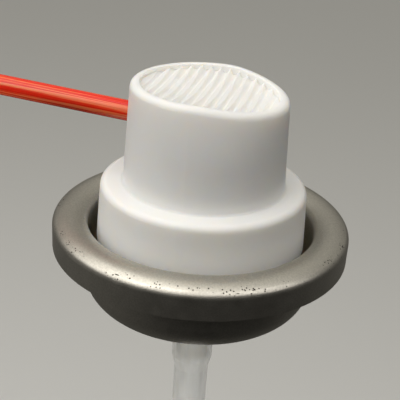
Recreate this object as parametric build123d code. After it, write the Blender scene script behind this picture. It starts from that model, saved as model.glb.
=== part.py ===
from build123d import *
import math
import os

# Aerosol valve with a push-button actuator and a spray tube, in millimetres.
# Z is the valve's axis, up. Z = 0 is the plane in which the cup's gasket sits
# on the can's rolled bead. The spray leaves towards -Y.

# Mounting cup, the one inch size
CURL_R = 16.1            # outside of the curl
CUP_WALL_R = 12.34       # inside face of the cup's wall
SHEET = 0.27
CURL_RISE = 1.26         # crown of the curl above the bead
CURL_SHOULDER_R = 0.95
CURL_SKIRT_Z = -2.24     # free edge of the curl
PAN_FLOOR_Z = -8.47
PAN_CORNER_R = 2.63
PEDESTAL_R = 5.3
PEDESTAL_TOP_Z = -0.4
PEDESTAL_FOOT_FILLET = 1.2
PEDESTAL_TOP_FILLET = 0.6
STEM_HOLE_R = 2.25
CLINCH_COUNT = 6
CLINCH_Z = -4.4
CLINCH_TOOL_R = 1.2
CLINCH_DEPTH = 0.6       # how far each dimple goes into the pedestal's wall

# Stem and its gasket
STEM_R = 2.0
STEM_TOP_Z = 7.6
STEM_BORE_R = 0.95
STEM_FLANGE_R = 2.6
STEM_FLANGE_H = 1.2
STEM_PILOT_R = 1.45
STEM_PILOT_H = 2.6
ORIFICE_R = 0.25
GASKET_R = 4.65
GASKET_H = 1.0
SLIDING_GAP = 0.03       # radial, between the stem and what it slides or turns in
SEAT_GAP = 0.02          # between faces that rest on each other

# Housing
HEAD_R = 4.85
HEAD_H = 1.6
NECK_R = 4.15
NECK_H = 2.6
BODY_R = 3.9
BODY_BOTTOM_Z = -13.0
CHAMBER_R = 2.75
CHAMBER_FLOOR_Z = -11.6
TAIL_R = 1.83
TAIL_END_Z = -17.2
TAIL_BORE_R = 1.0
FILLING_SLOTS = 8
HOUSING_RIBS = 4

# Spring
WIRE_R = 0.225
SPRING_R = 2.0
SPRING_TURNS = 7

# Dip tube
DIP_R = 2.0
DIP_WALL = 0.5
DIP_TOP_Z = -13.05
DIP_END_Z = -175.0
FLARE_END_Z = -17.3
FLARE_FADE_Z = -18.9
TIP_CUT_DEG = 30.0

# Actuator
SKIRT_BOTTOM_Z = -1.64
SKIRT_BOTTOM_R = 11.36
SHOULDER_Z = 5.02
SHOULDER_R = 11.03
SHOULDER_ROUND = 0.7
TIER_FOOT_R = 8.68
TIER_TOP_R = 8.2
TOP_Z = 15.8             # rim, over the front half
BEND_Y = 1.0             # where the rim starts to fall to the rear
BEND_RADIUS = 15.0
RAMP_DEG = 8.5
RIM_ROUND = 0.65
RIM_INNER_ROUND = 0.12
PAD_R = 7.2
PAD_DEPTH = 1.02         # finger pad below the rim, at the valve's axis
PAD_FALL_DEG = 4.5       # fall of the pad towards the rear
PAD_HOLLOW_R = 36.0      # radius of its hollow, which runs along the fall
GROOVE_COUNT = 13
GROOVE_PITCH = 1.03
GROOVE_WIDTH = 0.88
GROOVE_POINT = 0.34      # how far the point of its V would go below the pad, at the middle
GROOVE_FLANK = 0.55      # height of the V
GROOVE_ROUND = 0.35      # at the bottom of the V
GROOVE_PATH_R = 90.0     # radius a groove follows, flatter than the hollow, so its ends are deeper
WALL = 1.0
SKIRT_CEILING_Z = 3.9
TIER_CEILING_Z = 12.4
POST_R = 3.4
POST_BOTTOM_Z = 1.6
WEB_COUNT = 6
WEB_THICK = 0.8
WEB_BOTTOM_Z = 5.6
RISER_R = 0.9            # upright spray channel above the stem

# Nozzle and spray tube, all on one axis that rises outwards
NOZZLE_Z = 11.12         # where the nozzle's axis crosses the valve's axis
NOZZLE_RISE_DEG = 3.5
NOZZLE_BACK = 3.4        # distances along the nozzle's axis, from the valve's axis
NOZZLE_FRONT = 8.0
NOZZLE_R = 2.1
BOSS_R = 3.15
CHANNEL_R = 0.8
SWIRL_R = 1.2
SWIRL_DEPTH = 0.5
TUBE_SEAT = 4.5
TUBE_R = 1.1
TUBE_BORE_R = 0.65
TUBE_LENGTH = 120.0

FAR = 30.0               # longer than any cut needs
NOZZLE = Plane(
    origin=(0, 0, NOZZLE_Z),
    x_dir=(1, 0, 0),
    z_dir=(0, -math.cos(math.radians(NOZZLE_RISE_DEG)), math.sin(math.radians(NOZZLE_RISE_DEG))),
)
BASE = (Align.CENTER, Align.CENTER, Align.MIN)


def turned(outline):
    """A solid of revolution about Z from a closed outline of (radius, height)."""
    return revolve(Plane.XZ * make_face(outline), Axis.Z)


def ring(outer_r, inner_r, low, high):
    """A plain ring about Z."""
    return turned(Polyline((inner_r, low), (outer_r, low), (outer_r, high), (inner_r, high), close=True))


def rod(radius, low, high):
    """A cylinder about Z, or along a plane's normal once placed."""
    return Pos(0, 0, low) * Cylinder(radius, high - low, align=BASE)


def curl_arcs(inset):
    """The curl's three tangent arcs, outer side first, moved inwards by inset."""
    half = (CURL_R - CUP_WALL_R) / 2
    middle = (CURL_R + CUP_WALL_R) / 2
    reach = half - CURL_SHOULDER_R
    lift = CURL_RISE - CURL_SHOULDER_R
    drop = (reach**2 - lift**2) / (2 * lift)
    crown_r = CURL_RISE + drop
    turn = math.degrees(math.atan2(drop, reach))
    return [
        CenterArc((middle + reach, 0), CURL_SHOULDER_R - inset, 0, turn),
        CenterArc((middle, -drop), crown_r - inset, turn, 180 - 2 * turn),
        CenterArc((middle - reach, 0), CURL_SHOULDER_R - inset, 180 - turn, turn),
    ]


def cup_line(inset):
    """One face of the cup's sheet, from the curl's free edge to the stem hole."""
    skirt = Line((CURL_R - inset, CURL_SKIRT_Z), (CURL_R - inset, 0))
    pan = FilletPolyline(
        (CUP_WALL_R + inset, 0),
        (CUP_WALL_R + inset, PAN_FLOOR_Z - inset),
        (PEDESTAL_R - inset, PAN_FLOOR_Z - inset),
        (PEDESTAL_R - inset, PEDESTAL_TOP_Z - inset),
        (STEM_HOLE_R, PEDESTAL_TOP_Z - inset),
        radius=[PAN_CORNER_R + inset, PEDESTAL_FOOT_FILLET + inset, PEDESTAL_TOP_FILLET - inset],
    )
    return [skirt, *curl_arcs(inset), pan]


def mounting_cup():
    """Formed sheet cup, clinched round the housing's head by dimples."""
    edge = Line((CURL_R, CURL_SKIRT_Z), (CURL_R - SHEET, CURL_SKIRT_Z))
    hole = Line((STEM_HOLE_R, PEDESTAL_TOP_Z), (STEM_HOLE_R, PEDESTAL_TOP_Z - SHEET))
    cup = turned([*cup_line(0), hole, *cup_line(SHEET), edge])
    inside = rod(PEDESTAL_R - SHEET / 2, PAN_FLOOR_Z, PEDESTAL_TOP_Z)
    tool_at = PEDESTAL_R + CLINCH_TOOL_R - CLINCH_DEPTH
    for number in range(CLINCH_COUNT):
        place = Rot(0, 0, 360 / CLINCH_COUNT * number) * Pos(tool_at, 0, CLINCH_Z)
        cup += (place * Sphere(CLINCH_TOOL_R + SHEET)) & inside
        cup -= place * Sphere(CLINCH_TOOL_R)
    return cup


def cup_gasket():
    """Rubber ring that fills the curl's crown and seals on the can's bead."""
    inset = SHEET + SEAT_GAP
    base = Line((CUP_WALL_R + inset, 0), (CURL_R - inset, 0))
    return turned([base, *curl_arcs(inset)])


def gasket_top():
    return PEDESTAL_TOP_Z - SHEET


def gasket_bottom():
    return gasket_top() - GASKET_H


def stem_gasket():
    """Flat rubber washer round the stem, clamped between cup and housing."""
    return ring(GASKET_R, STEM_R + SLIDING_GAP, gasket_bottom(), gasket_top() - SEAT_GAP)


def valve_stem():
    """Hollow stem with two side orifices, a sealing flange and a spring pilot."""
    flange_top = gasket_bottom() - SEAT_GAP
    flange_low = flange_top - STEM_FLANGE_H
    stem = turned(
        FilletPolyline(
            (0, flange_low - STEM_PILOT_H),
            (STEM_PILOT_R, flange_low - STEM_PILOT_H),
            (STEM_PILOT_R, flange_low),
            (STEM_FLANGE_R, flange_low),
            (STEM_FLANGE_R, flange_top),
            (STEM_R, flange_top),
            (STEM_R, STEM_TOP_Z),
            (0, STEM_TOP_Z),
            radius=[0, 0.4, 0, 0.2, 0, 0, 0.3, 0],
            close=True,
        )
    )
    orifice_z = (gasket_top() + gasket_bottom()) / 2
    stem -= rod(STEM_BORE_R, orifice_z - 3 * ORIFICE_R, STEM_TOP_Z + 1)
    stem -= Pos(0, 0, orifice_z) * Rot(90, 0, 0) * Cylinder(ORIFICE_R, 2 * STEM_R + 1)
    return stem


def valve_housing():
    """Moulded housing: head under the gasket, spring chamber, and a tail for the dip tube."""
    top = gasket_bottom() - SEAT_GAP
    housing = turned(
        FilletPolyline(
            (CHAMBER_R, top),
            (HEAD_R, top),
            (HEAD_R, top - HEAD_H),
            (NECK_R, top - HEAD_H),
            (NECK_R, top - HEAD_H - NECK_H),
            (BODY_R, top - HEAD_H - NECK_H),
            (BODY_R, BODY_BOTTOM_Z),
            (TAIL_R, BODY_BOTTOM_Z),
            (TAIL_R, TAIL_END_Z),
            (TAIL_BORE_R, TAIL_END_Z),
            (TAIL_BORE_R, CHAMBER_FLOOR_Z),
            (CHAMBER_R, CHAMBER_FLOOR_Z),
            radius=[0, 0.15, 0.15, 0, 0, 0, 0.6, 0, 0.3, 0, 0, 0.3],
            close=True,
        )
    )
    slot = Pos(HEAD_R, 0, top) * Box(0.9, 0.9, 2 * HEAD_H + 1)
    for number in range(FILLING_SLOTS):
        housing -= Rot(0, 0, 360 / FILLING_SLOTS * (number + 0.5)) * slot
    rib_top = top - HEAD_H - NECK_H
    rib_low = BODY_BOTTOM_Z + 1
    rib = Pos(BODY_R, 0, rib_low) * Box(0.5, 0.8, rib_top - rib_low, align=BASE)
    for number in range(HOUSING_RIBS):
        housing += Rot(0, 0, 360 / HOUSING_RIBS * number) * rib
    return housing


def valve_spring():
    """Compression spring between the chamber's floor and the stem's flange."""
    low = CHAMBER_FLOOR_Z + WIRE_R + SEAT_GAP
    high = gasket_bottom() - SEAT_GAP - STEM_FLANGE_H - WIRE_R - SEAT_GAP
    coil = Helix(pitch=(high - low) / SPRING_TURNS, height=high - low, radius=SPRING_R, center=(0, 0, low))
    start = Plane(origin=coil @ 0, z_dir=coil % 0)
    return sweep(start * Circle(WIRE_R), path=coil, is_frenet=True)


def dip_tube():
    """Soft tube pushed over the housing's tail, cut at a slant at its open end."""
    bore = DIP_R - DIP_WALL
    flare = TAIL_R + SEAT_GAP
    tube = turned(
        Polyline(
            (flare, DIP_TOP_Z),
            (flare + DIP_WALL, DIP_TOP_Z),
            (flare + DIP_WALL, FLARE_END_Z),
            (DIP_R, FLARE_FADE_Z),
            (DIP_R, DIP_END_Z),
            (bore, DIP_END_Z),
            (bore, FLARE_FADE_Z),
            (flare, FLARE_END_Z),
            close=True,
        )
    )
    slant = Box(FAR, FAR, FAR, align=(Align.CENTER, Align.CENTER, Align.MAX))
    rise = DIP_R * math.tan(math.radians(TIP_CUT_DEG))
    return tube - Pos(0, 0, DIP_END_Z + rise) * Rot(TIP_CUT_DEG, 0, 0) * slant


def above_rim():
    """Everything above the rim, whose line seen from the side bends down to the rear."""
    end_y = 2 * TIER_FOOT_R
    fall = (end_y - BEND_Y) * math.tan(math.radians(RAMP_DEG))
    rim = FilletPolyline((-end_y, TOP_Z), (BEND_Y, TOP_Z), (end_y, TOP_Z - fall), radius=BEND_RADIUS)
    lid = Polyline((end_y, TOP_Z - fall), (end_y, FAR), (-end_y, FAR), (-end_y, TOP_Z))
    return extrude(Plane.YZ * make_face([rim, lid]), FAR, both=True)


def pad_groove():
    """One groove across the middle of the pad, open upwards."""
    half = GROOVE_WIDTH / 2
    shoulder = GROOVE_FLANK - GROOVE_POINT
    over = 2 * GROOVE_FLANK
    section = FilletPolyline(
        (-half, over),
        (-half, shoulder),
        (0, -GROOVE_POINT),
        (half, shoulder),
        (half, over),
        radius=[0, 0, GROOVE_ROUND, 0, 0],
        close=True,
    )
    reach = math.degrees(math.asin((PAD_R + WALL) / GROOVE_PATH_R))
    axis = Axis((0, 0, GROOVE_PATH_R), (0, 1, 0))
    return revolve((Plane.YZ * make_face(section)).rotate(axis, -reach), axis, 2 * reach)


def pad_recess():
    """The finger pad: a trough that falls to the rear, grooved across, inside a round wall."""
    trough = Pos(0, 0, PAD_HOLLOW_R) * Rot(90, 0, 0) * Cylinder(PAD_HOLLOW_R, 2 * FAR)
    first = -GROOVE_PITCH * (GROOVE_COUNT - 1) / 2
    groove = pad_groove()
    for number in range(GROOVE_COUNT):
        trough += Pos(0, first + GROOVE_PITCH * number, 0) * groove
    place = Pos(0, 0, TOP_Z - PAD_DEPTH) * Rot(-PAD_FALL_DEG, 0, 0)
    return place * trough & rod(PAD_R, TIER_CEILING_Z, TOP_Z + 2)


def rim_edges(shell, inner_side):
    """Edges of the rim's land, on its inner or its outer side."""
    lowest = TOP_Z - 2.2 * TIER_FOOT_R * math.tan(math.radians(RAMP_DEG))
    beyond_pad = PAD_R + SEAT_GAP
    land = shell.faces().filter_by(
        lambda face: face.normal_at().Z > 0.9 and face.bounding_box().max.X > beyond_pad
        and face.bounding_box().min.Z > lowest
    )
    return land.edges().filter_by(
        lambda edge: all((math.hypot(point.X, point.Y) < beyond_pad) == inner_side
                         for point in (edge @ 0, edge @ 0.5, edge @ 1))
    )


def actuator_outside():
    """Skirt, shoulder and finger tier, with the slanted rim and the pad's recess."""
    over = TOP_Z + 1
    taper = (TIER_FOOT_R - TIER_TOP_R) / (TOP_Z - SHOULDER_Z)
    shell = turned(
        FilletPolyline(
            (0, SKIRT_BOTTOM_Z),
            (SKIRT_BOTTOM_R, SKIRT_BOTTOM_Z),
            (SHOULDER_R, SHOULDER_Z),
            (TIER_FOOT_R, SHOULDER_Z),
            (TIER_TOP_R - taper, over),
            (0, over),
            radius=[0, 0.2, SHOULDER_ROUND, 0.25, 0, 0],
            close=True,
        )
    )
    shell -= above_rim()
    shell -= pad_recess()
    shell = fillet(rim_edges(shell, inner_side=False), RIM_ROUND)
    return fillet(rim_edges(shell, inner_side=True), RIM_INNER_ROUND)


def actuator_hollow():
    """The space inside: skirt and tier hollows, less the stem post, webs and nozzle boss."""
    slope = (SKIRT_BOTTOM_R - SHOULDER_R) / (SHOULDER_Z - SKIRT_BOTTOM_Z)
    skirt_in = SKIRT_BOTTOM_R - WALL
    low = SKIRT_BOTTOM_Z - 1
    hollow = turned(
        FilletPolyline(
            (0, low),
            (skirt_in + slope, low),
            (SHOULDER_R - WALL, SKIRT_CEILING_Z),
            (TIER_FOOT_R - WALL, SKIRT_CEILING_Z),
            (TIER_TOP_R - WALL, TIER_CEILING_Z),
            (0, TIER_CEILING_Z),
            radius=[0, 0, 0.5, 0.3, 0.5, 0],
            close=True,
        )
    )
    hollow -= rod(POST_R, POST_BOTTOM_Z, TOP_Z)
    web = Pos(TIER_FOOT_R / 2, 0, WEB_BOTTOM_Z) * Box(TIER_FOOT_R, WEB_THICK, FAR, align=BASE)
    for number in range(WEB_COUNT):
        hollow -= Rot(0, 0, 360 / WEB_COUNT * number) * web
    return hollow - NOZZLE * rod(BOSS_R, 0, 2 * TIER_FOOT_R)


def actuator():
    """Push button, one moulding: skirt, finger pad, stem socket and nozzle pocket."""
    button = actuator_outside() - actuator_hollow()
    socket_top = STEM_TOP_Z + SEAT_GAP
    socket = turned(
        Polyline(
            (0, POST_BOTTOM_Z),
            (STEM_R + 0.5, POST_BOTTOM_Z),
            (STEM_R + SLIDING_GAP, POST_BOTTOM_Z + 0.8),
            (STEM_R + SLIDING_GAP, socket_top),
            (RISER_R, socket_top),
            (RISER_R, NOZZLE_Z),
            (0, NOZZLE_Z),
            close=True,
        )
    )
    button -= socket
    button -= NOZZLE * rod(CHANNEL_R, 0, NOZZLE_BACK)
    return button - NOZZLE * rod(NOZZLE_R + SEAT_GAP, NOZZLE_BACK, FAR)


def nozzle_insert():
    """Pressed-in nozzle: swirl chamber behind, orifice, and a socket for the tube in front."""
    insert = NOZZLE * turned(
        FilletPolyline(
            (ORIFICE_R, NOZZLE_BACK + SWIRL_DEPTH),
            (SWIRL_R, NOZZLE_BACK + SWIRL_DEPTH),
            (SWIRL_R, NOZZLE_BACK),
            (NOZZLE_R, NOZZLE_BACK),
            (NOZZLE_R, NOZZLE_FRONT),
            (TUBE_R + SEAT_GAP, NOZZLE_FRONT),
            (TUBE_R + SEAT_GAP, TUBE_SEAT),
            (ORIFICE_R, TUBE_SEAT),
            radius=[0, 0, 0, 0.25, 0.15, 0, 0, 0],
            close=True,
        )
    )
    return insert


def extension_tube():
    """Thin spray tube pushed into the nozzle."""
    start = TUBE_SEAT + SEAT_GAP
    return NOZZLE * ring(TUBE_R, TUBE_BORE_R, start, start + TUBE_LENGTH)


PIECES = [
    mounting_cup,
    cup_gasket,
    stem_gasket,
    valve_stem,
    valve_spring,
    valve_housing,
    dip_tube,
    actuator,
    nozzle_insert,
    extension_tube,
]

os.makedirs("parts", exist_ok=True)
for piece in PIECES:
    export_step(piece(), f"parts/{piece.__name__}.step")
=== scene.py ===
import math

import bmesh
import bpy
from mathutils import Euler, Matrix, Vector


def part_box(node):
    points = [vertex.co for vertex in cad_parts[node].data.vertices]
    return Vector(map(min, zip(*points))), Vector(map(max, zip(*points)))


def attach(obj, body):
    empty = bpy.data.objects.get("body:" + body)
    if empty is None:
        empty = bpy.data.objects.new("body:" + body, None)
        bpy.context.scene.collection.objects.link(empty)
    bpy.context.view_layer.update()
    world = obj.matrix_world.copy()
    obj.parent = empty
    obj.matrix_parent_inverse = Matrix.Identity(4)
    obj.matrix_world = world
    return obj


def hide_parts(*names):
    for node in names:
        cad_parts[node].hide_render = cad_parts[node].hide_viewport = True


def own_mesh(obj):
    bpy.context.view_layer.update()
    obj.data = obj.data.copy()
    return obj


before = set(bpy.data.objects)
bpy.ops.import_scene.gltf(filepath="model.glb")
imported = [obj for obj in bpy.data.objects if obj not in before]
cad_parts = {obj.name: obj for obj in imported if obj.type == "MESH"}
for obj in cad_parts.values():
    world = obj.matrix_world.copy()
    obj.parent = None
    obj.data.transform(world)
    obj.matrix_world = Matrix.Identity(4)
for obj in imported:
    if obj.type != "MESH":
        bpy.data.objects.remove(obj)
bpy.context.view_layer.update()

# Lengths are in metres, and MM makes them readable in millimetres.
MM = 0.001
CURL_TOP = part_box("mounting_cup")[1].z
TUBE_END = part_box("dip_tube")[0].z

# The worn ring on the curl's shoulder: radii where the marks start, are full, fade and end
WORN_RADII = (15.2 * MM, 15.4 * MM, 15.98 * MM, 16.08 * MM)
WORN_ABOVE = -0.2 * MM
WORN_SHIFT = (0.031, 0.017, 0.0)  # chooses which part of the noise lies on the curl

SPRAY_AXIS_Z = 11.12 * MM         # where the spray tube's axis crosses the valve's axis
SPRAY_RISE = math.radians(3.5)

SPRING_WIRE_R = 0.225 * MM
SPRING_TURNS = 8.0
SPRING_CLOSED_TURNS = 1.0         # at each end, wire against wire
SPRING_OPENING_TURNS = 0.5        # over which the pitch grows from closed to open
COIL_STEPS = 40                   # points along the wire in each turn
WIRE_SIDES = 14

FLOOR_GAP = 6 * MM
FLOOR_SIZE = 30.0

CAMERA_AZIMUTH = math.radians(102)
CAMERA_ELEVATION = math.radians(26.05)
CAMERA_DISTANCE = 91 * MM
CAMERA_TILT = (0.81, 0.12, 4.02)  # degrees about the camera's own axes
CAMERA_LENS = 75.1
SENSOR_WIDTH = 36

WARM = (1.0, 0.975, 0.94)
KEY_TINT = (1.0, 0.98, 0.95)
FILL_TINT = (1.0, 0.99, 0.97)

# The world's brightness from straight down (0) to straight up (1), and its tint
WORLD_STOPS = [
    (0.0, 0.06),
    (0.46, 0.08),
    (0.56, 0.13),
    (0.70, 0.28),
    (0.85, 0.42),
    (0.93, 0.52),
    (0.975, 0.80),
    (1.0, 0.9),
]
WORLD_TINT = (1.0, 0.97, 0.88)
WORLD_DIM_SIDE = (0.82, 0.57, 0.0)
BACKDROP = (0.27, 0.262, 0.235, 1)


# Materials

class Tree:
    """A node tree and short ways to add nodes to it."""

    def __init__(self, tree):
        self.nodes = tree.nodes
        self.links = tree.links

    def fill(self, socket, value):
        """Links a socket or sets it to a value."""
        if isinstance(value, bpy.types.NodeSocket):
            self.links.new(value, socket)
        else:
            socket.default_value = value

    def add(self, kind, inputs=None, **settings):
        """A node with its settings and its input values or links."""
        node = self.nodes.new(kind)
        for key, value in settings.items():
            setattr(node, key, value)
        for key, value in (inputs or {}).items():
            self.fill(node.inputs[key], value)
        return node

    def math(self, operation, first, second=0.0):
        node = self.add("ShaderNodeMath", {0: first, 1: second}, operation=operation)
        return node.outputs[0]

    def times(self, first, second):
        return self.math("MULTIPLY", first, second)

    def plus(self, first, second):
        return self.math("ADD", first, second)

    def spread(self, value, low, high, to_low=0.0, to_high=1.0):
        """The range low to high laid on the range to_low to to_high, and held at its ends."""
        inputs = {
            "Value": value,
            "From Min": low,
            "From Max": high,
            "To Min": to_low,
            "To Max": to_high,
        }
        return self.add("ShaderNodeMapRange", inputs).outputs["Result"]

    def ramp(self, factor, stops):
        """A colour ramp; stops are (position, grey or colour)."""
        node = self.add("ShaderNodeValToRGB", {"Fac": factor})
        elements = node.color_ramp.elements
        while len(elements) < len(stops):
            elements.new(0.5)
        for element, (position, color) in zip(elements, stops):
            element.position = position
            if isinstance(color, (int, float)):
                color = (color, color, color)
            element.color = (*color, 1.0)
        return node.outputs["Color"]


class Shader(Tree):
    """A Principled material."""

    def __init__(self, name, color, roughness, metallic=0.0):
        self.material = bpy.data.materials.new(name)
        self.material.use_nodes = True
        super().__init__(self.material.node_tree)
        self.surface = self.nodes["Principled BSDF"]
        self.set("Base Color", (*color, 1.0))
        self.set("Roughness", roughness)
        self.set("Metallic", metallic)

    def set(self, socket, value):
        self.surface.inputs[socket].default_value = value

    def feed(self, socket, source):
        self.links.new(source, self.surface.inputs[socket])

    def scatter(self, weight, reach, scale):
        """Light scattered inside the material; reach is for red, green and blue."""
        self.set("Subsurface Weight", weight)
        self.set("Subsurface Radius", reach)
        self.set("Subsurface Scale", scale)

    def place(self):
        return self.add("ShaderNodeTexCoord").outputs["Object"]

    def noise(self, vector, scale, detail=4.0, roughness=0.5):
        """Smooth noise from 0 to 1; scale is its grains in a unit of the vector."""
        settings = {"Vector": vector, "Scale": scale, "Detail": detail, "Roughness": roughness}
        return self.add("ShaderNodeTexNoise", settings).outputs["Fac"]

    def scaled(self, vector, factors):
        node = self.add("ShaderNodeMapping", {"Vector": vector, "Scale": factors})
        return node.outputs["Vector"]

    def mix(self, factor, first, second):
        """Two colours mixed by a factor; each is a socket or three numbers.

        Inputs 6 and 7 and output 2 are the node's sockets for colours.
        """
        node = self.add("ShaderNodeMix", {"Factor": factor}, data_type="RGBA")
        for socket, value in ((node.inputs[6], first), (node.inputs[7], second)):
            is_socket = isinstance(value, bpy.types.NodeSocket)
            self.fill(socket, value if is_socket else (*value, 1.0))
        return node.outputs[2]

    def bump(self, height, depth, strength, normal=None):
        """A normal bent by a height from 0 to 1 that stands for a depth in metres."""
        inputs = {"Height": height, "Distance": depth, "Strength": strength}
        if normal is not None:
            inputs["Normal"] = normal
        return self.add("ShaderNodeBump", inputs).outputs["Normal"]

    def round_axis(self, vector):
        """Distance from the valve's axis, angle about it, and height."""
        x, y, z = self.add("ShaderNodeSeparateXYZ", {0: vector}).outputs
        square = self.plus(self.times(x, x), self.times(y, y))
        return self.math("SQRT", square), self.math("ARCTAN2", y, x), z

    def joined(self, x, y, z):
        return self.add("ShaderNodeCombineXYZ", {0: x, 1: y, 2: z}).outputs[0]

    def specks(self, vector, scale, size, share):
        """1 inside small round specks; size is their radius in cells, share the cells with one."""
        cells = self.add("ShaderNodeTexVoronoi", {"Vector": vector, "Scale": scale})
        pick = self.add("ShaderNodeSeparateColor", {0: cells.outputs["Color"]}).outputs[0]
        reach = self.times(self.math("LESS_THAN", pick, share), size)
        return self.math("LESS_THAN", cells.outputs["Distance"], reach)

    def band(self, value, start, full, fade, end):
        """0 outside start to end, and 1 between full and fade."""
        return self.times(self.spread(value, start, full), self.spread(value, fade, end, 1.0, 0.0))


def white_plastic():
    """Moulded polypropylene: warm white, satin, with light scattered inside it."""
    shader = Shader("white_plastic", (0.86, 0.85, 0.82), 0.40)
    shader.scatter(1.0, (1.0, 0.88, 0.72), 1.3 * MM)
    shader.set("IOR", 1.49)
    place = shader.place()
    fine = shader.noise(place, 5200, 3)
    swell = shader.noise(place, 420, 2)
    broad = shader.noise(place, 150, 2)
    shader.feed("Roughness", shader.ramp(fine, [(0.3, 0.36), (0.7, 0.47)]))
    tone = shader.mix(broad, (0.875, 0.868, 0.85), (0.85, 0.842, 0.822))
    dust = shader.specks(place, 620, 0.045, 0.03)
    shader.feed("Base Color", shader.mix(dust, tone, (0.42, 0.39, 0.35)))
    ripple = shader.bump(swell, 0.012 * MM, 0.35)
    shader.feed("Normal", shader.bump(fine, 0.002 * MM, 0.4, ripple))
    return shader.material


def worn_marks(shader, place, radius, angle, height):
    """1 in the pits and short scrapes along the curl's shoulder, and in rare pits elsewhere."""
    shoulder = shader.band(radius, *WORN_RADII)
    worn_at = shader.add("ShaderNodeVectorMath", {0: place, 1: WORN_SHIFT}).outputs[0]
    worn = shader.ramp(shader.noise(worn_at, 260, 2), [(0.48, 0.0), (0.54, 1.0)])
    upper = shader.math("GREATER_THAN", height, WORN_ABOVE)
    where = shader.times(shader.times(shoulder, worn), upper)
    pits = shader.times(shader.specks(place, 3800, 0.30, 0.4), where)
    long_at = shader.joined(
        shader.times(angle, 9.0), shader.times(radius, 2800.0), shader.times(height, 2800.0)
    )
    scrapes = shader.times(shader.specks(long_at, 1.0, 0.15, 0.4), where)
    rare = shader.specks(place, 600, 0.05, 0.10)
    return shader.math("MAXIMUM", shader.math("MAXIMUM", pits, scrapes), rare)


def cup_metal():
    """Lacquered tinplate: fine satin grain, drawn lines, faint stains, and a worn shoulder."""
    shader = Shader("cup_metal", (0.58, 0.55, 0.50), 0.34, metallic=1.0)
    place = shader.place()
    radius, angle, height = shader.round_axis(place)
    grain = shader.noise(place, 5200, 4, 0.75)
    drawn_at = shader.joined(
        shader.times(angle, 13.5), shader.times(radius, 4200.0), shader.times(height, 700.0)
    )
    drawn = shader.noise(drawn_at, 1.0, 3)
    stains = shader.noise(place, 230, 4, 0.6)
    sheet = shader.mix(stains, (0.65, 0.625, 0.56), (0.50, 0.475, 0.42))
    coarse = shader.ramp(grain, [(0.38, 0.0), (0.62, 1.0)])
    tone = shader.mix(coarse, sheet, (0.47, 0.45, 0.40))
    marks = worn_marks(shader, place, radius, angle, height)
    shader.feed("Base Color", shader.mix(marks, tone, (0.035, 0.03, 0.025)))
    satin = shader.plus(shader.times(grain, 0.16), shader.times(drawn, 0.12))
    shader.feed("Roughness", shader.plus(satin, 0.25))
    waves = shader.bump(stains, 0.010 * MM, 0.4)
    lines = shader.bump(drawn, 0.008 * MM, 0.6, waves)
    fine = shader.bump(grain, 0.012 * MM, 0.9, lines)
    sunk = shader.bump(shader.math("SUBTRACT", 1.0, marks), 0.03 * MM, 0.8, fine)
    shader.feed("Normal", sunk)
    return shader.material


def red_plastic():
    """Extruded polypropylene tube with drawn lines along it; its paler lines are painted
    highlights.
    """
    shader = Shader("red_plastic", (0.84, 0.036, 0.012), 0.24)
    shader.set("Specular IOR Level", 0.4)
    shader.scatter(0.7, (1.0, 0.22, 0.10), 0.8 * MM)
    shader.set("IOR", 1.49)
    x, y, z = shader.add("ShaderNodeSeparateXYZ", {0: shader.place()}).outputs
    over_middle = shader.math("SUBTRACT", z, SPRAY_AXIS_Z)
    level = shader.plus(over_middle, shader.times(y, math.tan(SPRAY_RISE)))
    around = shader.math("ARCTAN2", level, x)
    lines_at = shader.joined(
        shader.times(shader.math("COSINE", around), 4.0),
        shader.times(shader.math("SINE", around), 4.0),
        shader.times(y, 35.0),
    )
    lines = shader.noise(lines_at, 1.0, 3, 0.6)
    # Darker and lighter reds follow the drawn lines; the pale orange stop is a painted highlight,
    # reflected light laid into the colour.
    tones_with_painted_highlights = [
        (0.42, (0.78, 0.020, 0.006)),
        (0.52, (0.84, 0.045, 0.014)),
        (0.57, (0.95, 0.20, 0.07)),
    ]
    shader.feed("Base Color", shader.ramp(lines, tones_with_painted_highlights))
    shader.feed("Roughness", shader.ramp(lines, [(0.35, 0.28), (0.65, 0.16)]))
    shader.feed("Normal", shader.bump(lines, 0.03 * MM, 0.6))
    return shader.material


def dip_plastic():
    """Milky polyethylene tube, thin enough to see through."""
    shader = Shader("dip_tube_plastic", (0.86, 0.86, 0.83), 0.38)
    shader.scatter(0.5, (1.0, 0.95, 0.85), 0.6 * MM)
    shader.set("Sheen Weight", 0.5)
    shader.set("Sheen Roughness", 0.3)
    cloud = shader.noise(shader.scaled(shader.place(), (900, 900, 60)), 1.0, 3)
    shader.feed("Alpha", shader.ramp(cloud, [(0.3, 0.36), (0.7, 0.48)]))
    shader.feed("Base Color", shader.mix(cloud, (0.89, 0.89, 0.865), (0.83, 0.83, 0.80)))
    shader.feed("Roughness", shader.ramp(cloud, [(0.3, 0.32), (0.7, 0.44)]))
    shader.feed("Normal", shader.bump(cloud, 0.01 * MM, 0.4))
    return shader.material


def rubber():
    """Black nitrile rubber with a dusting of bloom."""
    shader = Shader("black_rubber", (0.022, 0.022, 0.021), 0.65)
    place = shader.place()
    bloom = shader.noise(place, 900, 4, 0.6)
    skin = shader.noise(place, 9000, 2)
    shader.feed("Base Color", shader.mix(bloom, (0.016, 0.016, 0.016), (0.040, 0.039, 0.037)))
    shader.feed("Roughness", shader.ramp(bloom, [(0.3, 0.55), (0.7, 0.78)]))
    shader.feed("Normal", shader.bump(skin, 0.006 * MM, 0.6))
    return shader.material


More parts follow.
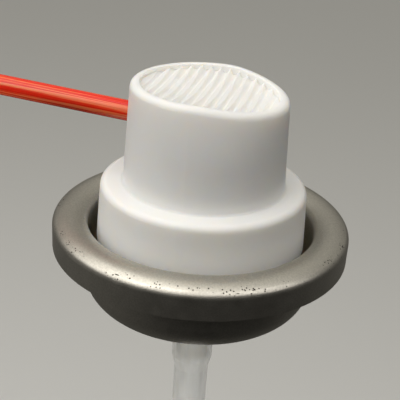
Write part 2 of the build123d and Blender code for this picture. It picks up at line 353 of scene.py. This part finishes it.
def acetal():
    """Natural acetal, dense white and slightly waxy."""
    shader = Shader("stem_plastic", (0.82, 0.81, 0.76), 0.30)
    shader.scatter(0.6, (1.0, 0.9, 0.75), 0.4 * MM)
    place = shader.place()
    cloud = shader.noise(place, 700, 3)
    skin = shader.noise(place, 6000, 2)
    shader.feed("Base Color", shader.mix(cloud, (0.84, 0.83, 0.785), (0.79, 0.775, 0.72)))
    shader.feed("Roughness", shader.ramp(cloud, [(0.3, 0.26), (0.7, 0.36)]))
    shader.feed("Normal", shader.bump(skin, 0.002 * MM, 0.5))
    return shader.material


def housing_plastic():
    """Natural polyamide: a little yellow, with flow marks down its length."""
    shader = Shader("housing_plastic", (0.76, 0.735, 0.64), 0.42)
    shader.scatter(0.7, (1.0, 0.85, 0.6), 0.6 * MM)
    flow = shader.noise(shader.scaled(shader.place(), (700, 700, 120)), 1.0, 4)
    shader.feed("Base Color", shader.mix(flow, (0.79, 0.77, 0.69), (0.70, 0.675, 0.58)))
    shader.feed("Roughness", shader.ramp(flow, [(0.3, 0.36), (0.7, 0.52)]))
    shader.feed("Normal", shader.bump(flow, 0.008 * MM, 0.4))
    return shader.material


def spring_steel():
    """Drawn stainless wire."""
    shader = Shader("spring_steel", (0.60, 0.59, 0.57), 0.24, metallic=1.0)
    place = shader.place()
    die_marks = shader.noise(place, 8000, 3)
    stain = shader.noise(place, 700, 2)
    shader.feed("Base Color", shader.mix(stain, (0.63, 0.62, 0.60), (0.48, 0.465, 0.44)))
    shader.feed("Roughness", shader.ramp(die_marks, [(0.3, 0.17), (0.7, 0.33)]))
    shader.feed("Normal", shader.bump(die_marks, 0.0015 * MM, 0.6))
    return shader.material


def finish_nodes():
    """Gives every CAD node that stays its finish."""
    natural = acetal()
    seal = rubber()
    finishes = {
        "mounting_cup": cup_metal(),
        "cup_gasket": seal,
        "stem_gasket": seal,
        "valve_stem": natural,
        "valve_housing": housing_plastic(),
        "dip_tube": dip_plastic(),
        "actuator": white_plastic(),
        "nozzle_insert": natural,
        "extension_tube": red_plastic(),
    }
    for name, finish in finishes.items():
        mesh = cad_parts[name].data
        mesh.materials.clear()
        mesh.materials.append(finish)


# Spring

def coil_points(radius, low, high):
    """Centre line of a compression spring whose end turns lie closed, wire against wire."""
    count = int(COIL_STEPS * SPRING_TURNS)
    wire = 2 * SPRING_WIRE_R
    climb = 0.0
    heights = []
    for number in range(count + 1):
        heights.append(climb)
        from_end = min(number, count - number) / COIL_STEPS
        opening = min(max((from_end - SPRING_CLOSED_TURNS) / SPRING_OPENING_TURNS, 0.0), 1.0)
        climb += wire / COIL_STEPS + opening * (high - low) / COIL_STEPS
    closed = wire * SPRING_TURNS
    stretch = (high - low - closed) / (heights[-1] - closed)
    points = []
    for number, height in enumerate(heights):
        base = wire * number / COIL_STEPS
        turn = 2 * math.pi * number / COIL_STEPS
        z = low + base + (height - base) * stretch
        points.append(Vector((radius * math.cos(turn), radius * math.sin(turn), z)))
    return points


def wire_piece(name, points, radius):
    """A closed round wire along a line of points about the valve's axis."""
    mesh = bmesh.new()
    rings = []
    for number, point in enumerate(points):
        before = points[max(number - 1, 0)]
        after = points[min(number + 1, len(points) - 1)]
        along = (after - before).normalized()
        outward = Vector((point.x, point.y, 0)).normalized()
        side = (outward - along * outward.dot(along)).normalized()
        up = along.cross(side)
        ring = []
        for corner in range(WIRE_SIDES):
            angle = 2 * math.pi * corner / WIRE_SIDES
            offset = (side * math.cos(angle) + up * math.sin(angle)) * radius
            ring.append(mesh.verts.new(point + offset))
        rings.append(ring)
    for first, second in zip(rings, rings[1:]):
        for corner in range(WIRE_SIDES):
            beside = (corner + 1) % WIRE_SIDES
            mesh.faces.new((first[corner], first[beside], second[beside], second[corner]))
    mesh.faces.new(list(reversed(rings[0])))
    mesh.faces.new(rings[-1])
    for face in mesh.faces:
        face.smooth = len(face.verts) == 4
    bmesh.ops.recalc_face_normals(mesh, faces=mesh.faces)
    data = bpy.data.meshes.new(name)
    mesh.to_mesh(data)
    mesh.free()
    piece = bpy.data.objects.new(name, data)
    bpy.context.collection.objects.link(piece)
    return piece


def add_spring():
    """The spring with its closed end turns, in place of the plain coil."""
    low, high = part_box("valve_spring")
    middle = (high.x - low.x) / 2 - SPRING_WIRE_R
    points = coil_points(middle, low.z + SPRING_WIRE_R, high.z - SPRING_WIRE_R)
    spring = wire_piece("valve_spring_coil", points, SPRING_WIRE_R)
    spring.data.materials.append(spring_steel())
    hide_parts("valve_spring")
    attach(spring, "valve")
    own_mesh(spring)


# Floor, light and camera

def direction_to(azimuth, elevation):
    """Unit vector towards a place seen from the object, with azimuth 0 at -Y and 90 at +X."""
    return Vector(
        (
            math.sin(azimuth) * math.cos(elevation),
            -math.cos(azimuth) * math.cos(elevation),
            math.sin(elevation),
        )
    )


def add_floor():
    """A plain pale floor that neither lights the object nor is reflected in it."""
    location = (0, 0, TUBE_END - FLOOR_GAP)
    bpy.ops.mesh.primitive_plane_add(size=FLOOR_SIZE, location=location)
    floor = bpy.context.object
    floor.name = "floor"
    shader = Shader("floor", (0.72, 0.72, 0.71), 0.8)
    floor.data.materials.append(shader.material)
    floor.visible_glossy = False
    floor.visible_diffuse = False


def add_light(
    name, azimuth, elevation, distance, size, power, color, target_z=0.0, glossy=True, diffuse=True
):
    """A soft light that the camera doesn't see; size is width and depth.

    It faces a point on the valve's axis at target_z, from an azimuth and elevation in degrees.
    With glossy False it isn't reflected, and with diffuse False it is only reflected.
    """
    away = direction_to(math.radians(azimuth), math.radians(elevation))
    data = bpy.data.lights.new(name, "AREA")
    data.shape = "RECTANGLE"
    data.size, data.size_y = size
    data.energy = power
    data.color = color
    light = bpy.data.objects.new(name, data)
    light.location = Vector((0, 0, target_z)) + away * distance
    light.rotation_euler = away.to_track_quat("Z", "Y").to_euler()
    light.visible_camera = False
    light.visible_glossy = glossy
    light.visible_diffuse = diffuse
    bpy.context.collection.objects.link(light)


def add_lights():
    add_light("overhead", 116, 61, 0.25, (0.48, 0.17), 0.38, WARM)
    add_light("sheen", 128, 35, 0.26, (0.70, 0.08), 0.28, WARM, diffuse=False)
    add_light("key", 30, 47, 0.36, (0.42, 0.42), 0.90, KEY_TINT)
    add_light(
        "tube_fill", 112, -46, 0.09, (0.05, 0.05), 0.07, FILL_TINT, target_z=-30 * MM, glossy=False
    )


def add_camera():
    away = direction_to(CAMERA_AZIMUTH, CAMERA_ELEVATION)
    tilt = Euler([math.radians(angle) for angle in CAMERA_TILT])
    data = bpy.data.cameras.new("camera")
    data.sensor_width = SENSOR_WIDTH
    data.lens = CAMERA_LENS
    data.clip_start = 5 * MM
    camera = bpy.data.objects.new("camera", data)
    facing = away.to_track_quat("Z", "Y").to_matrix() @ tilt.to_matrix()
    aim = Vector((0, 0, CURL_TOP))
    camera.matrix_world = Matrix.Translation(aim + away * CAMERA_DISTANCE) @ facing.to_4x4()
    bpy.context.collection.objects.link(camera)
    bpy.context.scene.camera = camera


def add_world():
    """A dim studio, brightest overhead and darkest below and on one side.

    The camera sees a plain grey backdrop in its place.
    """
    world = bpy.data.worlds.new("world")
    world.use_nodes = True
    tree = Tree(world.node_tree)
    direction = tree.add("ShaderNodeTexCoord").outputs["Generated"]
    upward = tree.add("ShaderNodeSeparateXYZ", {0: direction}).outputs["Z"]
    stops = [
        (position, tuple(grey * part for part in WORLD_TINT)) for position, grey in WORLD_STOPS
    ]
    studio = tree.nodes["Background"]
    tree.fill(studio.inputs["Color"], tree.ramp(tree.spread(upward, -1, 1), stops))
    sideways = tree.add(
        "ShaderNodeVectorMath", {0: direction, 1: WORLD_DIM_SIDE}, operation="DOT_PRODUCT"
    )
    strength = tree.spread(sideways.outputs["Value"], low=-0.3, high=0.6, to_low=1.2, to_high=0.2)
    tree.fill(studio.inputs["Strength"], strength)
    backdrop = tree.add("ShaderNodeBackground", {"Color": BACKDROP})
    is_camera = tree.add("ShaderNodeLightPath").outputs["Is Camera Ray"]
    seen = tree.add(
        "ShaderNodeMixShader", {"Fac": is_camera, 1: studio.outputs[0], 2: backdrop.outputs[0]}
    )
    tree.fill(tree.nodes["World Output"].inputs["Surface"], seen.outputs[0])
    bpy.context.scene.world = world


finish_nodes()
add_spring()
add_floor()
add_lights()
bpy.context.scene.view_settings.view_transform = "Standard"
add_camera()
add_world()
